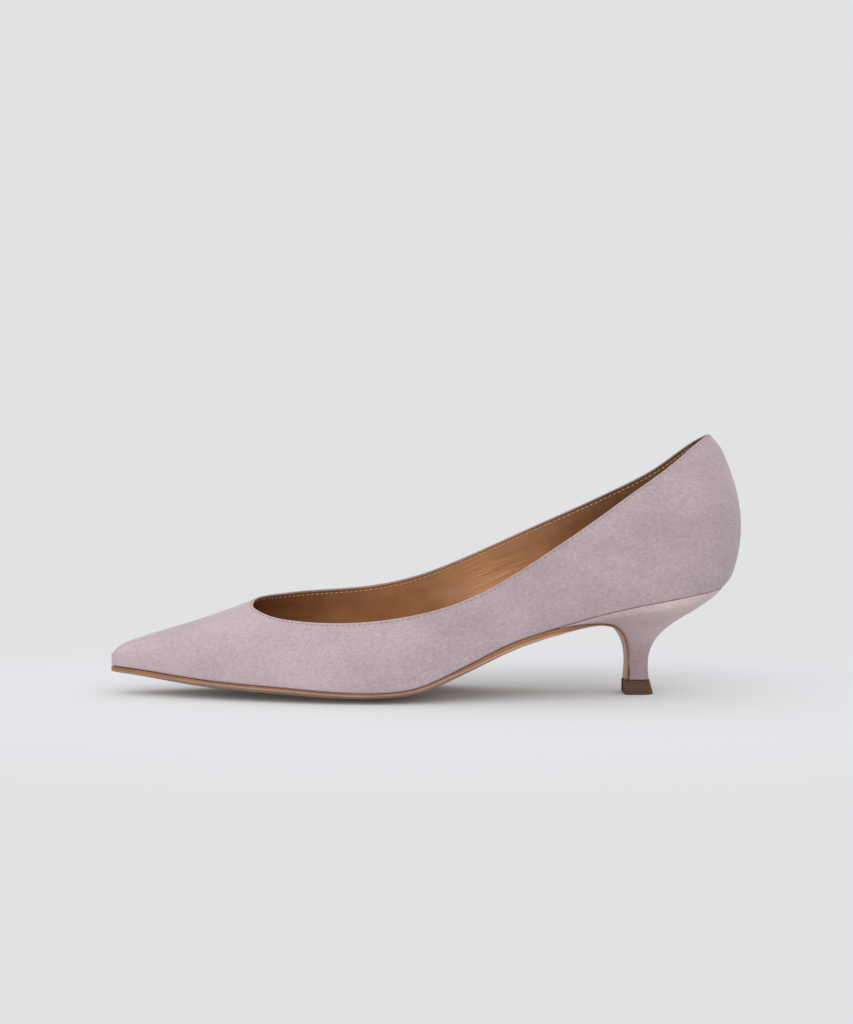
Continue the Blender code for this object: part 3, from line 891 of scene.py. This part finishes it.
sockSetup = {
    "inset": 1.9,
    "rise": 2.0,
    "thick": 0.8,
    "columns": 24,
    "rows": 110,
    "heelRows": 30,
    "toeGap": 2.0,
    "heelGap": 0.02,
    "light": (0.420, 0.192, 0.084),
    "dark": (0.320, 0.138, 0.055),
}


def soleSink(x, y, side):  # how far the last's bottom sinks between its edges
    width = max(halfWidth(x, side), 0.1)
    return section["crown"](shareAlong(x)) * endRounding(x) * (1 - min(abs(y) / width, 1.0) ** 2)


def spread(lateral, medial, columns):  # y of points across, one of them on the axis
    half = columns // 2
    outerHalf = [-lateral * (half - k) / half for k in range(half)]
    return outerHalf + [medial * k / half for k in range(half + 1)]


def makeSock(setup):
    bm = bmesh.new()
    inset = setup["inset"]
    first, last = toeX + inset + setup["toeGap"], seatX - inset - setup["heelGap"]
    bend = last - lastSizes["heelRound"] + inset
    places = eased(first, bend, setup["rows"])
    turns = eased(0.0, math.pi / 2, setup["heelRows"]) + [math.pi / 2]
    places += [bend + (last - bend) * math.sin(turn) for turn in turns]
    rows = []
    for x in places:
        row = []
        widths = halfWidth(x, outer, inset), halfWidth(x, inner, inset)
        for y in spread(*widths, setup["columns"]):
            z = featherHeight(x) - soleSink(x, y, outer if y < 0 else inner) + setup["rise"]
            row.append(Vector((x + backShift(x, z), y, z)))
        rows.append(row)
    formGrid(bm, rows)
    rollShell(bm, setup["thick"])
    finishPiece(bm, "insoleSock", [tanLeather], ["insole"])


tanLeather = leatherMaterial("tanLeather", sockSetup["light"], sockSetup["dark"])
makeSock(sockSetup)

# heel levels, seat to foot: breast x and z, back x and z, width, how even the sides are

heelNames = "level breastX breastZ backX backZ width even".split()
heelRows = [
    (0, 53.0, 29.0, 122.3, 44.2, 1.000, 0.0),
    (1, 60.0, 30.1, 119.3, 41.1, 0.985, 0.2),
    (2, 66.6, 30.5, 115.7, 38.4, 0.940, 0.5),
    (3, 72.2, 30.2, 111.5, 35.5, 0.845, 0.8),
    (4, 76.5, 28.9, 106.5, 32.4, 0.680, 1.0),
    (5, 79.8, 26.3, 101.1, 28.8, 0.505, 1.0),
    (6, 82.1, 22.5, 96.2, 24.4, 0.360, 1.0),
    (7, 83.3, 17.6, 92.9, 19.2, 0.263, 1.0),
    (8, 83.5, 12.1, 91.6, 13.0, 0.222, 1.0),
    (9, 83.1, 6.1, 92.0, 6.1, 0.217, 1.0),
]
heelCurve = {name: columnCurve(heelNames, heelRows, name) for name in heelNames[1:]}
wingX, footLevel = heelRows[0][1], heelRows[-1][0]


def breastPoint(level):
    return Vector((heelCurve["breastX"](level), 0.0, heelCurve["breastZ"](level)))


def heelWidth(level, share, side):  # half width, a share of the way from breast to back
    x = wingX + (seatX - wingX) * share
    even = heelCurve["even"](level)
    both = (halfWidth(x, outer) + halfWidth(x, inner)) / 2
    return heelCurve["width"](level) * (halfWidth(x, side) * (1 - even) + both * even)


# outsole: runs under the foot, then on down the breast of the heel

soleSetup = {
    "columns": 28,
    "toeRows": 12,
    "footRows": 150,
    "flapRows": 90,
    "eases": 12,  # rounds that soften the bend where the flap leaves the upper
    "easeRows": (20, 12),  # rows of it before and after the bend
    "toeGap": 0.03,
    "bellyPower": 4.5,
    "corner": 0.25,
    "cornerMost": 0.3,  # of the edge's depth
    "cornerSteps": 3,
    "brownShare": 0.64,  # of the edge from ball to waist, the rest has the underside's paint
    "brownMost": 0.95,
    "brownToe": (0.28, 0.08),  # places where it goes over to the most
    "brownFlap": (0.96, 1.08),
    "edgeLight": (0.325, 0.143, 0.050),
    "edgeDark": (0.213, 0.089, 0.030),
    "underLight": (0.43, 0.275, 0.215),
    "underDark": (0.36, 0.225, 0.175),
}
depthNames = "place edge belly".split()
depthRows = [
    (0.00, 1.60, 0.50),
    (0.25, 1.30, 1.80),
    (0.50, 1.20, 2.00),
    (0.75, 1.25, 1.65),
    (0.87, 2.35, 1.00),
    (1.00, 2.40, 0.70),
    (1.12, 1.75, 0.40),
    (1.25, 0.90, 0.15),
    (1.40, 0.85, 0.10),
    (2.00, 1.35, 0.10),
]
soleEdge = columnCurve(depthNames, depthRows, "edge")
soleBelly = columnCurve(depthNames, depthRows, "belly")


def soleRoute(setup):  # point, place, half widths and crown at each step from toe to flap's foot
    toe = toeX + lastSizes["toeRound"]
    places = eased(toeX + setup["toeGap"], toe, setup["toeRows"], power=2.0)
    places += eased(toe, wingX, setup["footRows"])
    route = []
    for x in places:
        crown = section["crown"](shareAlong(x)) * endRounding(x)
        point = Vector((x, 0.0, featherHeight(x) - lastSizes["gap"]))
        widths = halfWidth(x, outer), halfWidth(x, inner)
        route.append([point, (x - toeX) / (wingX - toeX), *widths, crown])
    for k in range(setup["flapRows"] + 1):
        level = footLevel * k / setup["flapRows"]
        widths = heelWidth(level, 0.0, outer), heelWidth(level, 0.0, inner)
        route.append([breastPoint(level), 1 + k / setup["flapRows"], *widths, 0.0])
    before, after = setup["easeRows"]
    for _ in range(setup["eases"]):
        heights = [step[0].z for step in route]
        for k in range(len(places) - before, len(places) + after):
            route[k][0].z = (heights[k - 1] + 2 * heights[k] + heights[k + 1]) / 4
    return route


def roundRim(top, low, out, setup, split):  # one edge of the sole, from top to underside
    down = (low - top).normalized()
    deep = (low - top).length
    corner = min(setup["corner"], deep * setup["cornerMost"])
    steps = setup["cornerSteps"]
    points = []
    for start, turn in ((top, -1), (low, 1)):
        middle = start - out * corner - down * corner * turn
        for k in range(steps + 1):
            angle = math.pi / 2 * (k / steps if turn < 0 else 1 - k / steps)
            points.append(middle + (out * math.sin(angle) + down * turn * math.cos(angle)) * corner)
        if turn < 0:
            points.append(top + down * (corner + (deep - 2 * corner) * split))
    return points


def makeOutsole(setup):
    route = soleRoute(setup)
    points = [step[0] for step in route]
    last = len(points) - 1
    columns = setup["columns"]
    half = columns // 2
    rows = []
    for k, (point, place, lateral, medial, crown) in enumerate(route):
        run = (points[min(k + 1, last)] - points[max(k - 1, 0)]).normalized()
        normal = Vector((-run.z, 0.0, run.x))
        edge, belly = soleEdge(place), soleBelly(place)
        ends = setup["brownToe"], setup["brownFlap"]
        whole = max(fade((place - start) / (end - start)) for start, end in ends)
        split = setup["brownShare"] + (setup["brownMost"] - setup["brownShare"]) * whole
        tops, lows = [], []
        for y in spread(lateral, medial, columns):
            inward = min(abs(y) / (lateral if y < 0 else medial), 1.0)
            top = point + Vector((0, y, 0)) - normal * crown * (1 - inward**2)
            low = top - normal * (edge + belly * (1 - inward ** setup["bellyPower"]))
            tops.append(top)
            lows.append(Vector((low.x, low.y, max(low.z, 0.0))))
        medialRim = roundRim(tops[-1], lows[-1], Vector((0, 1, 0)), setup, split)
        lateralRim = roundRim(tops[0], lows[0], Vector((0, -1, 0)), setup, split)
        rows.append(tops[half:-1] + medialRim + lows[-2:0:-1] + lateralRim[::-1] + tops[1 : half + 1])
    bm = bmesh.new()
    grid = formGrid(bm, rows)
    end = len(rows[0]) - half - 1
    above = setup["cornerSteps"] + 1
    brown = [*range(half, half + above), *range(end - above, end)]  # above the split on both rims
    for j in brown:
        for i in range(last):
            for face in set(grid[i, j].link_faces) & set(grid[i + 1, j + 1].link_faces):
                face.material_index = 1
    closeUp(bm)
    finishPiece(bm, "soleLeather", [soleUnder, soleRim], ["outsole"])


underColours = soleSetup["underLight"], soleSetup["underDark"]
edgeColours = soleSetup["edgeLight"], soleSetup["edgeDark"]
soleUnder = leatherMaterial("soleUnderside", *underColours, grain=900.0, relief=0.00004)
soleRim = leatherMaterial("soleEdge", *edgeColours, roughness=0.5, grain=1800.0, relief=0.00008)
makeOutsole(soleSetup)

# heel: suede over a moulded core

heelSetup = {
    "rings": 108,
    "steps": 56,
    "breastColumns": 8,
    "corner": 0.55,
    "clear": (0.04, 0.26),  # between its breast and the flap, at the wings and at the foot
    "clearLevels": (2.0, 6.0),
    "slopeStep": 0.05,  # levels either way from which the breast's slope is taken
    "seatLevels": 1.6,  # so far down its sides follow the curve of the seat
    "light": (0.625, 0.503, 0.511),
    "dark": (0.410, 0.310, 0.318),
    "tone": (0.058, 0.105, -0.50, 0.20),  # x of wings and back, and how much darker or paler the colour is there
    "lower": (0.030, 0.012, (0.61, 0.58, 0.595)),  # painted shade, darker towards its foot
    "seatRoll": (0.45, 0.1),  # its upper edge is rolled in, which leaves a fine groove
    "tipTuck": 0.5,  # the wings' tips come out gradually, over these levels and shares
    "tipReach": (0.8, 0.12),
}


def heelRing(level, setup):
    run = breastPoint(level + setup["slopeStep"]) - breastPoint(level - setup["slopeStep"])
    start, end = setup["clearLevels"]
    least, most = setup["clear"]
    clear = least + (most - least) * fade((level - start) / (end - start))
    tipLevels, tipShares = setup["tipReach"]
    roll = softRidge(setup["seatRoll"], level)
    front = breastPoint(level) + Vector((-run.z, 0.0, run.x)).normalized() * clear
    back = Vector((heelCurve["backX"](level), 0.0, heelCurve["backZ"](level)))
    rims = {outer: [], inner: []}
    for k in range(setup["steps"] + 1):
        share = math.sin(k / setup["steps"] * math.pi / 2)
        for side, rim in rims.items():
            point = front.lerp(back, share)
            seat = featherHeight(point.x)
            straight = featherHeight(front.x) * (1 - share) + featherHeight(back.x) * share
            bent = (seat - straight) * fade(1 - level / setup["seatLevels"])
            point.z += bent if level else seat - lastSizes["gap"] - point.z
            tuck = setup["tipTuck"] * fade(1 - level / tipLevels) * fade(1 - share / tipShares)
            point.y = side * max(heelWidth(level, share, side) - roll * (1 - share) - tuck, 0.0)
            point.x -= roll * share
            rim.append(point)
    breast = spread(-rims[outer][0].y, rims[inner][0].y, setup["breastColumns"])
    breast = [Vector((rims[outer][0].x, y, rims[outer][0].z)) for y in breast]
    half = setup["breastColumns"] // 2
    return breast[half::-1] + rims[outer][1:] + rims[inner][-2:0:-1] + breast[: half - 1 : -1]


def makeHeel(setup):
    bm = bmesh.new()
    rows = [heelRing(footLevel * k / setup["rings"], setup) for k in range(setup["rings"] + 1)]
    grid = formGrid(bm, rows)
    half = setup["breastColumns"] // 2
    corners = [half, len(rows[0]) - 1 - half]
    sharp = [bm.edges.get((grid[i, j], grid[i + 1, j])) for j in corners for i in range(len(rows) - 1)]
    roundEdges(bm, sharp, setup["corner"])
    closeUp(bm)
    finishPiece(bm, "heelCover", [heelSuede], ["heel"])


heelColours = [heelSetup[name] for name in ("light", "dark", "tone", "lower")]
heelSuede = suedeMaterial("heelSuede", *heelColours)
makeHeel(heelSetup)

# top piece

topPieceSetup = {
    "height": 5.8,
    "rows": 12,
    "steps": 40,
    "corner": 0.3,
    "colour": (0.084, 0.041, 0.019),
    "lines": 1.1,  # mm between the faint lines round it
}
flareRows = [(0.0, 1.8), (0.5, 1.05), (1.0, 0.25)]
flareOut = columnCurve("height out".split(), flareRows, "out")


def topPieceMaterial(setup):
    made, tree, shader = newMaterial("topPiece", {"Specular IOR Level": 0.22})
    link = tree.links.new
    place = objectPlace(tree)
    grain = addNoise(tree, place, scale=1200.0, detail=4.0, roughness=0.7)
    stretched = mapped(tree, place, {"Scale": (30.0, 30.0, 1000.0 / setup["lines"])})
    lines = addNoise(tree, stretched, scale=1.0, detail=2.0)
    dark, light = ([channel * tint for channel in setup["colour"]] for tint in (0.7, 1.3))
    link(blended(tree, lines, dark, light), shader.inputs["Base Color"])
    link(ramped(tree, grain, (0.0, 1.0, 0.45, 0.65)), shader.inputs["Roughness"])
    addBump(tree, shader, combined(tree, "ADD", grain, lines), strength=0.35, distance=0.00012)
    return made


def makeTopPiece(setup):
    foot = heelRows[-1]
    front, back = foot[1] - soleEdge(2.0), foot[3]
    rows = []
    for k in range(setup["rows"] + 1):
        up = k / setup["rows"]
        out = flareOut(up)
        rims = {outer: [], inner: []}
        for n in range(setup["steps"] + 1):
            share = math.sin(n / setup["steps"] * math.pi / 2)
            for side, rim in rims.items():
                flare = 1 + out / 2 / heelWidth(footLevel, 0.0, side)
                wide = heelWidth(footLevel, share, side) * flare
                x = front + (back + out - front) * share
                rim.append(Vector((x, side * wide, up * setup["height"])))
        middle = Vector((front, 0, up * setup["height"]))
        rows.append([middle] + rims[outer] + rims[inner][-2::-1] + [middle])
    bm = bmesh.new()
    grid = formGrid(bm, rows)
    corners = [1, len(rows[0]) - 2]
    steps = range(setup["rows"])
    sharp = [bm.edges.get((grid[i, j], grid[i + 1, j])) for j in corners for i in steps]
    roundEdges(bm, sharp, setup["corner"])
    closeUp(bm)
    finishPiece(bm, "topPiece", [hardRubber], ["top_piece"])


hardRubber = topPieceMaterial(topPieceSetup)
makeTopPiece(topPieceSetup)

print("all pieces made")
